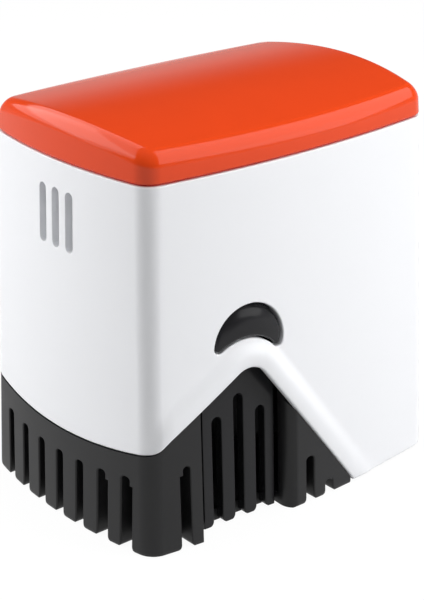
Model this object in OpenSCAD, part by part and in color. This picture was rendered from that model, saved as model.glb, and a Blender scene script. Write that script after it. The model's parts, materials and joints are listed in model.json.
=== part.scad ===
// Automatic bilge float switch: a float chamber that clips over a strainer base.
// Millimetres, +Z up, origin at the middle of the base's underside.
// +X runs to the cable end, -X to the vented end.

/* [Housing] */
// Overall height, floor to the crown of the cap
body_h = 102; // [97:1:112]
// Overall length at the cap seam
body_l = 94; // [90:1:104]
// Overall width at the cap seam
body_w = 66.6; // [64:0.2:76]
// Outward bow of each long side
side_bow = 2.7; // [1.5:0.1:3.5]
// Outward bow of each short end
end_bow = 2.4; // [1.5:0.1:3.2]
// Radius of the upright corners
corner_r = 5.5; // [5:0.5:8]
// Outward flare of every wall between seam and floor
flare = 3.2; // [2.4:0.1:4]
// Thickness of the moulded walls
wall = 2.5; // [2:0.1:3]
// Level of the underside of the deck over the float chamber, from the seam
deck_z = -29.7; // [-32:0.1:-28]
// Thickness of the deck
deck_t = 3; // [2.5:0.5:4]
// Lift of the rear skirt above the floor
skirt_gap = 0.8; // [0.5:0.1:1.5]

/* [Vents] */
// Number of air vents in the front end
vent_n = 3; // [1:1:5]
// Width of a vent
vent_w = 2.7; // [2:0.1:3.6]
// Spacing of the vents
vent_pitch = 5.2; // [4.4:0.1:6]
// Level of the middle of the vents, from the seam
vent_z = -14; // [-16:0.1:-13]
// Length of a vent, round ends included
vent_l = 14.7; // [10:0.1:16]
// Depth of the air shaft behind the vents
shaft_d = 7; // [5:0.5:8]

/* [Cap] */
// Height of the cap from the seam to its crown
cap_h = 10.3; // [9.5:0.1:11]
// Fillet round the top edge
cap_edge_r = 3.5; // [2.5:0.25:4]
// Fall of the top from its middle to the long edges
cap_crown = 3.6; // [3:0.1:4.2]
// Thickness of the cap's top
cap_t = 2.5; // [2:0.25:3]
// Gap at the seam, filled by the gasket
seam_gap = 0.5; // [0.3:0.1:0.8]
// Set-back of the gasket from the outer face
gasket_inset = 0.8; // [0.5:0.1:1.2]
// Depth of the cap's spigot in the housing
spigot_h = 4; // [3:0.5:4.5]
// Thickness of the cap's spigot
spigot_t = 1.75; // [1.5:0.25:2]

/* [Lower edge] */
// Distance of the lower edge's peak from the front end
peak_x = 28.6; // [26:0.1:31]
// Level of the peak, from the seam
peak_z = -48.6; // [-50:0.1:-47]
// Radius of the peak
peak_r = 5.8; // [5:0.1:6.5]
// Slope of the edge in front of the peak, degrees
front_slope = 31.5; // [30:0.5:33]
// Slope of the edge behind the peak, degrees
rear_slope = 52.5; // [50:0.5:55]
// Level of the edge at the middle of the front end, from the seam
front_z = -67.7; // [-69:0.1:-67]
// Distance of the edge's front turn from the housing's end
edge_turn = 2.5; // [2:0.1:3.2]
// Length of the steeper run of the edge behind that turn
turn_run = 4; // [3:0.5:6]
// Fall of the turn below the line of the front slope
turn_drop = 1.1; // [0.6:0.1:1.6]
// Flat width of the raised lip along the edge
lip_flat = 3.6; // [2.5:0.1:4]
// Width of the ramp from the lip back to the wall
lip_ramp = 2.9; // [2:0.1:3.4]
// Height of the lip over the wall
lip_proud = 1.2; // [0.8:0.1:1.5]
// Length over which the lip fades out at the front corner
lip_fade = 5; // [4:0.5:7]

/* [Strainer base] */
// Thickness of the floor
floor_t = 3; // [2.5:0.25:4]
// Gap between the base and the housing's lower edge
joint_gap = 0.25; // [0.15:0.05:0.4]
// Thickness of the tongue inside the housing
tongue_t = 2; // [1.5:0.25:2.5]
// Rise of the tongue above the edge
tongue_h = 3; // [2:0.5:4]
// Height of the rim inside the rear skirt
rim_h = 10; // [6:0.5:14]
// Width of a strainer slot
slot_w = 3; // [2.4:0.1:3.4]
// Number of slots across the front end
end_slots = 7; // [5:2:7]
// Spacing of the front slots
end_pitch = 7.9; // [7.4:0.1:8]
// Fall from the edge to the top of a front slot
end_drop = 6.3; // [5:0.1:8]
// Spacing of the slots along a long side
side_pitch = 6.6; // [6.2:0.1:6.8]
// Distance of the first side slots from the latch
side_first = 19; // [18.6:0.1:19.4]
// Fall from the edge to a slot's top in front of the peak
front_drop = 11.4; // [9:0.1:13]
// Fall from the edge to a slot's top under the peak
peak_drop = 9.3; // [8:0.1:11]
// Fall from the edge to a slot's top behind the peak
rear_drop = 7.9; // [7:0.1:9]
// Depth of the slots from the outer face
slot_depth = 6.5; // [6:0.1:7.5]
// Chamfer of the ribs' feet
foot_c = 0.8; // [0.4:0.1:1.2]
// Radius of the mounting holes
mount_r = 2.3; // [1.8:0.1:2.8]
// Spacing of the mounting holes along the part
mount_dx = 56; // [50:1:60]
// Spacing of the mounting holes across the part
mount_dy = 26; // [22:1:30]

/* [Latches] */
// Distance of the latches from the front end
latch_x = 29.8; // [28.5:0.1:31]
// Width of the recess that an arm stands in, at the outer face
recess_w = 30; // [29.4:0.1:30.4]
// Rounding of the recess's two outer corners
return_r = 4; // [3.5:0.1:4.2]
// Depth of an arm's face behind the wall
arm_inset = 5; // [4.8:0.1:5.5]
// Thickness of an arm
arm_t = 2.5; // [2:0.1:3]
// Width of the slots in an arm
arm_slot_w = 2.7; // [2.2:0.1:3]
// Radius of the bead that an arm turns on
bead_r = 1.5; // [1.2:0.1:1.6]
// Lift of an arm's foot off the floor
arm_lift = 0.4; // [0.3:0.1:0.8]
// Outer radius of the crescent window
crescent_r = 10.25; // [9.5:0.05:10.6]
// Radius of the crescent's hollow edge
hollow_r = 11.6; // [11.2:0.1:12]
// Rise of the crescent's outer centre over the peak
crescent_z = 5.2; // [4.9:0.1:5.5]
// Distance between the crescent's two centres
crescent_step = 9.95; // [9.7:0.05:10.3]
// Lean of the crescent, degrees
crescent_lean = 6; // [0:1:10]
// Radius of the crescent's tips
tip_r = 1.2; // [0.9:0.1:1.4]
// Gap round a button in its window
button_gap = 0.5; // [0.4:0.05:0.8]
// Rise of a button's crown over the wall
button_proud = 0.5; // [0:0.1:1]
// Radius of a button's domed face
button_dome_r = 55; // [40:1:70]

/* [Float] */
// Place of the guide stem along the part
stem_x = 8; // [6:0.5:10]
// Outer radius of the stem
stem_r = 6; // [5.8:0.1:6.5]
// Wall of the stem
stem_wall = 2; // [1.8:0.1:2.2]
// Radius of the stem's flange
flange_r = 10; // [9:0.5:11]
// Thickness of the stem's flange
flange_t = 2.5; // [2:0.25:3]
// Thickness of the seal under the flange
seal_t = 1; // [0.6:0.1:1.5]
// Height of the nut under the deck
nut_h = 5; // [4:0.5:6]
// Radius of the socket that holds the stem's foot
socket_r = 9; // [8:0.5:10]
// Height of the socket over the floor
socket_h = 4; // [3:0.5:5]
// Thickness of the clip that the float rests on
clip_t = 1.2; // [0.8:0.1:1.5]
// Outer radius of the clip
clip_r = 9.5; // [9:0.5:11]
// Depth of the clip's groove
clip_bite = 0.8; // [0.5:0.1:1]
// Outer radius of the float
float_r = 19; // [17:0.5:20]
// Height of the float
float_h = 22; // [18:1:24]
// Wall of the float's shells
float_wall = 1.6; // [1.2:0.1:2]
// Radial play of the float on the stem
float_play = 0.4; // [0.3:0.05:0.6]
// Rounding of the float's rims
float_edge_r = 3; // [2:0.5:4]
// Outer radius of the ring magnet
magnet_r = 12; // [11:0.5:13]
// Height of the ring magnet
magnet_h = 6; // [4:0.5:7]

/* [Electronics] */
// Length of the circuit board
board_l = 58; // [54:1:60]
// Width of the circuit board
board_w = 42; // [38:1:44]
// Thickness of the circuit board
board_t = 1.6; // [1.2:0.2:2]
// Distance of the board's middle from the cable end
board_x = 41.5; // [41:0.5:42.5]
// Height of the bosses under the board
boss_h = 7; // [6:0.5:8]
// Radius of the bosses under the board
boss_r = 3.2; // [2.8:0.1:3.6]
// Distance of the board's screws from its edges
board_inset = 4; // [3.6:0.2:5]
// Relay case: length, width and height
relay_size = [19, 15.5, 15.5];
// Terminal block: length, width and height
terminal_size = [8.2, 15.2, 10];
// Radius of the capacitor
cap_r = 4; // [3:0.5:5]
// Height of the capacitor
cap_can_h = 11; // [8:1:13]
// Radius of the diode
diode_r = 1.35; // [1:0.05:1.6]
// Length of the diode
diode_l = 5.2; // [4:0.2:6]
// Length of a reed switch's glass
reed_l = 14; // [12:1:16]
// Radius of a reed switch's glass
reed_r = 1.2; // [1:0.1:1.4]
// Thickness of the sensor strip
strip_t = 1; // [0.8:0.1:1.2]

/* [Fasteners] */
// Radius of the screws' shanks
screw_r = 1.5; // [1.3:0.1:1.7]
// Radius of the screws' heads
head_r = 2.9; // [2.6:0.1:3.1]
// Height of the screws' heads
head_h = 2.2; // [1.6:0.1:2.6]
// Length of the cap screws under the head
cap_screw_l = 12; // [9:1:14]
// Length of the board screws under the head
board_screw_l = 6; // [5:0.5:7]
// Radius of the posts under the cap
post_r = 3.3; // [3:0.1:3.4]
// Distance of the posts from the cable end
post_inset = 8.8; // [8.6:0.1:9.2]
// Distance of the posts from the long sides
post_side = 8.75; // [8.6:0.05:8.85]

/* [Cable inlet] */
// Level of the inlet's axis, from the seam
gland_z = -14.7; // [-16:0.1:-14.5]
// Radius of the gland's barrel
gland_r = 6; // [5.5:0.25:6.5]
// Radius of the gland's collar
collar_r = 8.5; // [8:0.25:9]
// Thickness of the gland's collar
collar_t = 1.7; // [1.2:0.1:1.9]
// Radius of the flat pad round the inlet
pad_r = 10; // [9.5:0.25:10.25]
// Rise of the pad over the rear wall
pad_proud = 0.6; // [0.4:0.1:0.8]
// Radius of the cable's way through the seal
cable_r = 2.9; // [2.4:0.1:3.4]
// Wall of the cable seal
cable_seal_t = 1.2; // [0.8:0.1:1.4]
// Thickness of the gland's nut
gland_nut_t = 4; // [3:0.5:4.5]

/* [Hidden] */
$fn = 72;
// Clearances: fixed pieces, moving pieces, and the overrun of cutting tools
fit = 0.25;
rest_gap = 0.2;
over = 2;
far = 2 * body_l;
// Points on each arc of the bowed outline
side_n = 14;
corner_n = 7;
end_n = 10;
// Skeleton of the outline: corner centres, bow radii and half angles
kx = body_l / 2 - end_bow - corner_r;
ky = body_w / 2 - side_bow - corner_r;
side_R = (kx * kx + side_bow * side_bow) / (2 * side_bow);
end_R = (ky * ky + end_bow * end_bow) / (2 * end_bow);
side_a = asin(kx / side_R);
end_a = asin(ky / end_R);
// Move of a corner's centre for each unit of flare, so that the corners keep one radius
corner_dx = (cos(side_a) - sin(end_a)) / cos(side_a + end_a);
corner_dy = (cos(end_a) - sin(side_a)) / cos(side_a + end_a);
// Levels
seam_z = body_h - cap_h;
deck_low = seam_z + deck_z;
deck_top = deck_low + deck_t;
vent_mid = seam_z + vent_z;
inlet_z = seam_z + gland_z;
peak_top = seam_z + peak_z;
front_low = seam_z + front_z;
crescent_mid = peak_top + crescent_z;
board_z = deck_top + boss_h;
board_top = board_z + board_t;
clip_z = floor_t + socket_h + 1.5;
float_z = clip_z + clip_t + rest_gap;
float_mid = float_z + float_h / 2;
float_top = float_z + float_h;
flange_z = deck_top + seal_t;
float_travel = deck_low - nut_h - rest_gap - float_top;
// Places along the part
peak_at = peak_x - body_l / 2;
latch_at = latch_x - body_l / 2;
board_at = body_l / 2 - board_x;
// Walls
tongue_in = wall + fit;
base_in = tongue_in + tongue_t;
cap_in = tongue_in + spigot_t;
shaft_x = -(body_l / 2 - wall - shaft_d);
shaft_ledge = 0.6;
// Peak of the lower edge
peak_cz = peak_top - peak_r;
turn_x = -(body_l / 2 - edge_turn);
turn_z = edge_z(turn_x);
turn_c = corner_at(turn_z);
turn_y = turn_c[1] + sqrt(pow(corner_r, 2) - pow(-turn_x - turn_c[0], 2));
front_sag = turn_z - front_low;
front_R = (turn_y * turn_y + front_sag * front_sag) / (2 * front_sag);
// Latch frame on the long side: yaw with the bow, lean with the flare
latch_yaw = asin(latch_at / (side_R + corner_r + flare));
latch_lean = atan(flare / seam_z);
recess_in = recess_w - 2 * return_r;
arm_w = recess_in - 0.8;
arm_back = arm_inset + arm_t;
bead_z = bead_r + 0.8;
// Float shells, stem and cable inlet
bore_r = stem_r + float_play;
tube_r = bore_r + float_wall;
stem_in = stem_r - stem_wall;
strip_w = 2 * sqrt(pow(stem_in - fit, 2) - pow(strip_t / 2, 2));
pad_out = end_x(0, inlet_z, 0) + pad_proud;
pad_in = end_x(0, inlet_z - pad_r, wall) - pad_proud - 0.4;
seal_r = cable_r + cable_seal_t;
// Fastener places
post_x = [shaft_x + wall + post_r + 1, body_l / 2 - post_inset];
post_y = body_w / 2 - post_side;
board_hx = board_l / 2 - board_inset;
board_hy = board_w / 2 - board_inset;

// Outward offset of the flared wall at a height
function grow(z) = flare * (seam_z - z) / seam_z;
// Points of an arc, its last point left to the next arc
function arc(c, r, a, b, n) =
    [for (i = [0:n - 1]) let (t = a + (b - a) * i / n) c + r * [cos(t), sin(t)]];
// Centre of the corner at +X +Y
function corner_at(z) = [kx + corner_dx * grow(z), ky + corner_dy * grow(z)];
// Bowed outline with round corners at a height, set in by a depth
function ring(z, depth) = let (
    g = grow(z),
    c = corner_at(z),
    r = corner_r - depth,
    sy = ky + side_bow - side_R,
    ex = kx + end_bow - end_R,
    sa = atan2(c[0], c[1] - sy),
    ea = atan2(c[1], c[0] - ex)) concat(
    arc([0, -sy], side_R + g + r, 270 - sa, 270 + sa, side_n),
    arc([c[0], -c[1]], r, 270 + sa, 360 - ea, corner_n),
    arc([ex, 0], end_R + g + r, -ea, ea, end_n),
    arc(c, r, ea, 90 - sa, corner_n),
    arc([0, sy], side_R + g + r, 90 - sa, 90 + sa, side_n),
    arc([-c[0], c[1]], r, 90 + sa, 180 - ea, corner_n),
    arc([-ex, 0], end_R + g + r, 180 - ea, 180 + ea, end_n),
    arc(-c, r, 180 + ea, 270 - sa, corner_n));
function at_z(points, z) = [for (p = points) [p[0], p[1], z]];
// Outer face of the near long side, and of the rear end, set in by a depth
function side_y(x, z, depth) = let (c = corner_at(z), r = corner_r - depth)
    abs(x) < c[0] + r * sin(side_a)
        ? side_R - ky - side_bow - sqrt(pow(side_R + grow(z) + r, 2) - x * x)
        : -c[1] - sqrt(max(0, r * r - pow(abs(x) - c[0], 2)));
function end_x(y, z, depth) =
    kx + end_bow - end_R + sqrt(pow(end_R + corner_r + grow(z) - depth, 2) - y * y);
// Height of the housing's lower edge along a long side
function edge_z(x) =
    x < peak_at - peak_r * sin(front_slope)
        ? peak_cz + peak_r / cos(front_slope) + (x - peak_at) * tan(front_slope)
            - turn_drop * max(0, 1 - (x - turn_x) / turn_run)
        : x > peak_at + peak_r * sin(rear_slope)
            ? peak_cz + peak_r / cos(rear_slope) - (x - peak_at) * tan(rear_slope)
            : peak_cz + sqrt(peak_r * peak_r - pow(x - peak_at, 2));
// Top of a side slot: the fall depends on the side of the latch
function slot_top(x) = edge_z(x) - (x < latch_at - side_pitch / 2 ? front_drop
    : x < latch_at + side_pitch / 2 ? peak_drop : rear_drop);
// Height of the edge across the front end
function front_edge(y) = front_low + front_R - sqrt(front_R * front_R - y * y);
// Directions away from the base: in front of the peak, behind it, and round it
up_rear = [sin(rear_slope), cos(rear_slope)];
peak_fan = [for (i = [0:8]) let (t = 90 + front_slope - (front_slope + rear_slope) * i / 8) [cos(t), sin(t)]];
// Where the edge behind the peak reaches a level
function edge_foot(z) = [peak_at + (peak_cz + peak_r / cos(rear_slope) - z) / tan(rear_slope), z];
// Stations along the lower edge: a point on it and the direction away from the base
edge_path = concat(
    [for (f = [0:0.25:1]) let (x = turn_x + 1 + f * lip_fade)
        [[x, edge_z(x)], [-sin(f * front_slope), cos(f * front_slope)]]],
    [for (n = peak_fan) [[peak_at, peak_cz] + peak_r * n, n]],
    [for (z = [peak_top / 2, -lip_flat - lip_ramp]) [edge_foot(z), up_rear]]);

// Solid skinned over a list of closed rings of equal length
module skin(rings) {
    n = len(rings[0]);
    m = len(rings);
    polyhedron(
        points = [for (r = rings) each r],
        faces = concat(
            [[for (i = [0:n - 1]) i]],
            [for (k = [0:m - 2]) for (i = [0:n - 1]) each let (a = k * n, b = a + n, j = (i + 1) % n)
                [[a + i, b + i, b + j], [a + i, b + j, a + j]]],
            [[for (i = [n - 1:-1:0]) (m - 1) * n + i]]),
        convexity = 6);
}

// Flared block on the bowed outline, set in by a depth
module block(depth, z0, z1) {
    skin([for (z = [z0, z1]) at_z(ring(z, depth), z)]);
}

// Flared wall between two depths
module band(depth0, depth1, z0, z1) {
    difference() {
        block(depth0, z0, z1);
        block(depth1, z0 - over, z1 + over);
    }
}

module both_sides() {
    children();
    mirror([0, 1, 0]) children();
}

// Space under the housing's lower edge, raised by d
module below_edge(d) {
    rotate([90, 0, 0])
        linear_extrude(height = far, center = true)
            polygon(concat(
                [[turn_x, -over]],
                [for (x = [turn_x, turn_x + turn_run]) [x, edge_z(x) + d / cos(front_slope)]],
                [for (n = peak_fan) [peak_at, peak_cz] + (peak_r + d) * n],
                [edge_foot(-over) + [d / sin(rear_slope), 0]]));
    difference() {
        translate([-far, -far / 2, -over])
            cube([far + turn_x, far, over + turn_z + front_sag + d]);
        translate([-far - over, 0, front_low + front_R])
            rotate([0, 90, 0])
                cylinder(r = front_R - d, h = far + over + over, $fn = 180);
    }
}

// Raised lip along the lower edge of the near side, fading out at the front corner
module lip() {
    sunk = wall / 2;
    function rise(x) = min(1, (x - edge_path[0][0][0]) / lip_fade) * (lip_proud + fit) - fit;
    function face(p, depth) = [p[0], side_y(p[0], p[1], depth), p[1]];
    intersection() {
        skin([for (s = edge_path) let (
            p = s[0],
            q = p + lip_flat * s[1],
            e = q + lip_ramp * s[1],
            h = rise(p[0]))
            [face(e, sunk), face(e, fit), face(q, -h), face(p, -h), face(p, sunk)]]);
        translate([-far / 2, -far / 2, skirt_gap]) cube(far);
    }
}

// Frame on the near side's wall: x along it, z up it, y into the part
module on_latch() {
    translate([latch_at, side_y(latch_at, 0, 0), 0])
        rotate([0, 0, latch_yaw])
            rotate([-latch_lean, 0, 0])
                children();
}

// Crescent with round tips, shrunk by a gap
module crescent(gap) {
    offset(r = tip_r - gap, $fn = 24)
        offset(delta = -tip_r)
            translate([0, crescent_mid])
                rotate(-crescent_lean)
                    difference() {
                        circle(r = crescent_r, $fn = 64);
                        translate([0, -crescent_step])
                            circle(r = hollow_r, $fn = 64);
                    }
}

// Outline drawn in the wall's plane, cut or raised between two depths
module through(depth0, depth1) {
    translate([0, depth1, 0])
        rotate([90, 0, 0])
            linear_extrude(height = depth1 - depth0)
                children();
}

// Slot with a round top, open at the foot between chamfered ribs
module slot_shape(w, top, foot) {
    translate([-w / 2, -over]) square([w, top - w / 2 + over]);
    translate([0, top - w / 2]) circle(d = w, $fn = 32);
    translate([0, foot])
        polygon([[-w / 2 - foot_c - over, -over], [w / 2 + foot_c + over, -over],
            [w / 2, foot_c], [-w / 2, foot_c]]);
}

module latch_arm() {
    on_latch() difference() {
        union() {
            through(arm_inset, arm_back) {
                translate([-arm_w / 2, arm_lift]) square([arm_w, crescent_mid - arm_lift]);
                translate([0, crescent_mid]) circle(r = crescent_r - 1);
            }
            intersection() {
                through(-over, arm_inset + arm_t / 2) crescent(button_gap);
                translate([0, button_dome_r - button_proud, crescent_mid + crescent_r / 4])
                    sphere(r = button_dome_r, $fn = 96);
            }
            translate([-arm_w / 2, arm_back, bead_z])
                rotate([0, 90, 0])
                    cylinder(r = bead_r, h = arm_w);
        }
        for (i = [-1:1])
            translate([i * side_pitch, 0, 0])
                through(0, arm_back + over + bead_r)
                    slot_shape(arm_slot_w, slot_top(latch_at + i * side_pitch), arm_lift);
    }
}

module latch_arm_near() {
    color("dimgray") latch_arm();
}

module latch_arm_far() {
    color("dimgray") mirror([0, 1, 0]) latch_arm();
}

module at_posts(z) {
    for (x = post_x)
        for (s = [-1, 1])
            translate([x, s * post_y, z])
                children();
}

module at_board_screws(z) {
    for (sx = [-1, 1])
        for (sy = [-1, 1])
            translate([board_at + sx * board_hx, sy * board_hy, z])
                children();
}

// Cylinder along the cable inlet's axis
module inlet(r, x0, x1) {
    translate([x0, 0, inlet_z])
        rotate([0, 90, 0])
            cylinder(r = r, h = x1 - x0);
}

module vents() {
    for (i = [0:vent_n - 1])
        let (y = (i - (vent_n - 1) / 2) * vent_pitch)
            translate([-far, y, vent_mid])
                rotate([0, 90, 0])
                    linear_extrude(height = far + shaft_x - shaft_d / 2) {
                        square([vent_l - vent_w, vent_w], center = true);
                        for (s = [-1, 1])
                            translate([s * (vent_l - vent_w) / 2, 0])
                                circle(d = vent_w, $fn = 24);
                    }
}

module housing() {
    color("white") difference() {
        union() {
            difference() {
                union() {
                    block(0, skirt_gap, seam_z);
                    both_sides() lip();
                }
                block(wall, -over, deck_low);
                block(wall, deck_top, seam_z + over);
            }
            intersection() {
                block(wall / 2, deck_low, seam_z - spigot_h - fit);
                translate([shaft_x, -far / 2, deck_low])
                    cube([wall, far, seam_z]);
            }
            at_board_screws(deck_low + deck_t / 2)
                cylinder(r = boss_r, h = board_z - deck_low - deck_t / 2);
            inlet(pad_r, pad_in, pad_out);
        }
        below_edge(0);
        both_sides() on_latch() through(-over * 2, arm_inset) crescent(0);
        vents();
        intersection() {
            block(wall + shaft_ledge, deck_low - over, deck_top + over);
            translate([-far, -far / 2, deck_low - over])
                cube([far + shaft_x, far, deck_t + 2 * over]);
        }
        translate([stem_x, 0, deck_low - over])
            cylinder(r = stem_r + fit, h = deck_t + 2 * over);
        at_posts(deck_low - over) cylinder(r = screw_r + fit, h = deck_t + 2 * over);
        at_board_screws(board_z - board_screw_l) cylinder(r = screw_r + fit / 5, h = board_screw_l + over);
        inlet(gland_r + fit, pad_in - over, pad_out + over);
    }
}

// Side slots of the near long wall
module side_slots() {
    for (x = [latch_at - side_first, latch_at + side_first, latch_at + side_first + side_pitch])
        translate([x, 0, 0])
            through(-far, side_y(x, 0, slot_depth))
                slot_shape(slot_w, slot_top(x), 0);
}

module end_slots_cut() {
    for (i = [0:end_slots - 1])
        let (y = (i - (end_slots - 1) / 2) * end_pitch)
            rotate([0, 0, -90])
                translate([-y, 0, 0])
                    through(-far, -end_x(y, 0, slot_depth))
                        slot_shape(slot_w, front_edge(y) - end_drop, 0);
}

module strainer_base() {
    color("dimgray") difference() {
        union() {
            intersection() {
                band(0, base_in - tongue_t / 2, 0, peak_top);
                below_edge(-joint_gap);
            }
            intersection() {
                band(tongue_in, base_in, 0, peak_top + tongue_h);
                union() {
                    below_edge(tongue_h);
                    translate([-far / 2, -far / 2, 0]) cube([far, far, rim_h]);
                }
            }
            block(base_in - tongue_t / 4, 0, floor_t);
            translate([stem_x, 0, floor_t / 2])
                cylinder(r = socket_r, h = floor_t / 2 + socket_h);
        }
        both_sides() {
            on_latch() {
                translate([-recess_in / 2, -far / 4, -far / 4])
                    cube([recess_in, far / 4 + arm_back + fit, far]);
                difference() {
                    translate([-recess_w / 2, -far / 4, -far / 4])
                        cube([recess_w, far / 4 + return_r, far]);
                    for (s = [-1, 1])
                        translate([s * recess_w / 2, return_r, -far / 2])
                            cylinder(r = return_r, h = 2 * far);
                }
                translate([-recess_in / 2, arm_back, bead_z])
                    rotate([0, 90, 0])
                        cylinder(r = bead_r + fit / 5, h = recess_in);
            }
            side_slots();
        }
        end_slots_cut();
        translate([stem_x, 0, floor_t]) cylinder(r = stem_r + fit / 5, h = socket_h + over);
        for (sx = [-1, 1])
            for (sy = [-1, 1])
                translate([sx * mount_dx / 2, sy * mount_dy / 2, -over])
                    cylinder(r = mount_r, h = floor_t + 2 * over);
    }
}

// Fall of the crowned top at a distance from the middle
function crown(y) = cap_crown * pow(2 * y / body_w, 2);
function crowned(points, z) = [for (p = points) [p[0], p[1], z - crown(p[1])]];

module top_cap() {
    bottom = seam_z + seam_gap;
    shoulder = body_h - cap_edge_r;
    rim = ring(shoulder, cap_edge_r);
    hollow = ring(seam_z, cap_in);
    color("orangered") difference() {
        union() {
            skin(concat(
                [at_z(ring(bottom, 0), bottom)],
                [for (t = [0:15:90]) crowned(ring(shoulder, cap_edge_r * (1 - cos(t))),
                    shoulder + cap_edge_r * sin(t))],
                [for (s = [0.75, 0.5, 0.25, 0.02]) crowned(s * rim, body_h)]));
            block(tongue_in, seam_z - spigot_h, bottom + fit);
            at_posts(deck_top) cylinder(r = post_r, h = bottom - deck_top);
        }
        difference() {
            skin(concat(
                [at_z(hollow, seam_z - spigot_h - over)],
                [for (s = [1, 0.75, 0.5, 0.25, 0.02]) crowned(s * hollow, body_h - cap_t)]));
            at_posts(deck_top) cylinder(r = post_r, h = body_h - deck_top);
        }
        at_posts(deck_low) cylinder(r = screw_r + fit / 5, h = cap_screw_l + 1);
    }
}

module cap_gasket() {
    color("maroon") band(gasket_inset, wall, seam_z, seam_z + seam_gap);
}

module screw(length) {
    translate([0, 0, -head_h]) difference() {
        cylinder(r = head_r, h = head_h);
        translate([0, 0, -over]) cylinder(r = screw_r, h = over + head_h / 2, $fn = 6);
    }
    cylinder(r = screw_r, h = length);
}

module cap_screws() {
    color("silver") at_posts(deck_low) screw(cap_screw_l);
}

module board_screws() {
    color("silver") at_board_screws(board_top) mirror([0, 0, 1]) screw(board_screw_l);
}

module guide_stem() {
    color("gainsboro") translate([stem_x, 0, 0]) rotate_extrude() difference() {
        polygon([[0, floor_t], [stem_r, floor_t], [stem_r, clip_z], [stem_r - clip_bite, clip_z],
            [stem_r - clip_bite, clip_z + clip_t], [stem_r, clip_z + clip_t], [stem_r, flange_z],
            [flange_r, flange_z], [flange_r, flange_z + flange_t], [0, flange_z + flange_t]]);
        translate([0, floor_t + stem_wall]) square([stem_in, far]);
    }
}

module stem_seal() {
    color("black") translate([stem_x, 0, deck_top]) difference() {
        cylinder(r = flange_r - 1, h = seal_t);
        translate([0, 0, -over]) cylinder(r = stem_r + fit / 5, h = seal_t + 2 * over);
    }
}

module stem_nut() {
    color("gainsboro") translate([stem_x, 0, deck_low - nut_h]) difference() {
        cylinder(r = flange_r, h = nut_h, $fn = 6);
        translate([0, 0, -over]) cylinder(r = stem_r + fit / 5, h = nut_h + 2 * over);
    }
}

// Open ring that snaps into the stem's groove
module float_clip() {
    color("silver") translate([stem_x, 0, clip_z]) difference() {
        cylinder(r = clip_r, h = clip_t);
        translate([0, 0, -over]) cylinder(r = stem_r - clip_bite + fit / 5, h = clip_t + 2 * over);
        translate([0, clip_bite - stem_r, -over]) cube([far, 2 * (stem_r - clip_bite), clip_t + 2 * over]);
    }
}

// Half of the float, standing on its closed end
module float_shell() {
    rotate_extrude() difference() {
        union() {
            translate([bore_r, 0]) square([float_r - float_edge_r - bore_r, float_h / 2]);
            translate([bore_r, float_edge_r]) square([float_r - bore_r, float_h / 2 - float_edge_r]);
            translate([float_r - float_edge_r, float_edge_r]) circle(r = float_edge_r);
        }
        translate([tube_r, float_wall]) square([float_r - float_wall - tube_r, float_h]);
    }
}

module float_lower_shell() {
    color("ivory") translate([stem_x, 0, float_z]) float_shell();
}

module float_upper_shell() {
    color("ivory") translate([stem_x, 0, float_top]) mirror([0, 0, 1]) float_shell();
}

module float_magnet() {
    color("dimgray") translate([stem_x, 0, float_z + float_wall]) difference() {
        cylinder(r = magnet_r, h = magnet_h);
        translate([0, 0, -over]) cylinder(r = tube_r + fit / 5, h = magnet_h + 2 * over);
    }
}

module circuit_board() {
    color("darkgreen") difference() {
        translate([board_at - board_l / 2, -board_w / 2, board_z]) cube([board_l, board_w, board_t]);
        at_board_screws(board_z - over) cylinder(r = screw_r + fit, h = board_t + 2 * over);
    }
}

module sensor_strip() {
    color("green") translate([stem_x - strip_w / 2, -strip_t / 2, floor_t + stem_wall])
        cube([strip_w, strip_t, board_z - floor_t - stem_wall]);
}

// Glass switch with its two leads, on one face of the sensor strip
module reed_switch(z, face) {
    translate([stem_x, face * (strip_t / 2 + reed_r), z]) {
        cylinder(r = reed_r, h = reed_l);
        for (dz = [-reed_l / 4, reed_l])
            translate([0, 0, dz]) cylinder(r = reed_r / 4, h = reed_l / 4);
    }
}

module lower_reed_switch() {
    color("lightcyan") reed_switch(float_z, 1);
}

module upper_reed_switch() {
    color("lightcyan") reed_switch(float_z + float_travel, -1);
}

module power_relay() {
    color("royalblue") translate([board_at - board_l / 2 + 2 * board_inset, -relay_size[1] / 4, board_top])
        cube(relay_size);
}

// Screw terminals with a wire way and a screw well at each pole
module terminal_block() {
    pole = terminal_size[1] / 3;
    color("seagreen") translate([board_at + board_hx - terminal_size[0], -terminal_size[1] / 2, board_top])
        difference() {
            cube(terminal_size);
            for (i = [0:2])
                translate([terminal_size[0] / 2, (i + 0.5) * pole, terminal_size[2] / 2]) {
                    cylinder(r = pole / 3, h = terminal_size[2]);
                    rotate([0, 90, 0]) cylinder(r = pole / 4, h = terminal_size[0]);
                }
        }
}

module capacitor() {
    color("midnightblue") translate([board_at, -board_hy + cap_r, board_top])
        cylinder(r = cap_r, h = cap_can_h);
}

module flyback_diode() {
    color("black") translate([board_at - board_l / 4, -board_hy + cap_r, board_top + diode_r])
        rotate([0, 90, 0])
            cylinder(r = diode_r, h = diode_l, center = true);
}

module cable_gland() {
    color("dimgray") difference() {
        union() {
            inlet(gland_r, pad_in - gland_nut_t - 1, pad_out + collar_t);
            inlet(collar_r, pad_out, pad_out + collar_t);
        }
        inlet(seal_r + fit / 5, pad_in - gland_nut_t - 1 - over, pad_out + collar_t + over);
    }
}

module gland_nut() {
    color("dimgray") difference() {
        translate([pad_in - gland_nut_t, 0, inlet_z])
            rotate([0, 90, 0])
                cylinder(r = collar_r, h = gland_nut_t, $fn = 6);
        inlet(gland_r + fit / 5, pad_in - gland_nut_t - over, pad_in + over);
    }
}

module cable_seal() {
    color("black") difference() {
        inlet(seal_r, pad_in - gland_nut_t - 1, pad_out + collar_t);
        inlet(cable_r, pad_in - gland_nut_t - 1 - over, pad_out + collar_t + over);
    }
}

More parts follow.
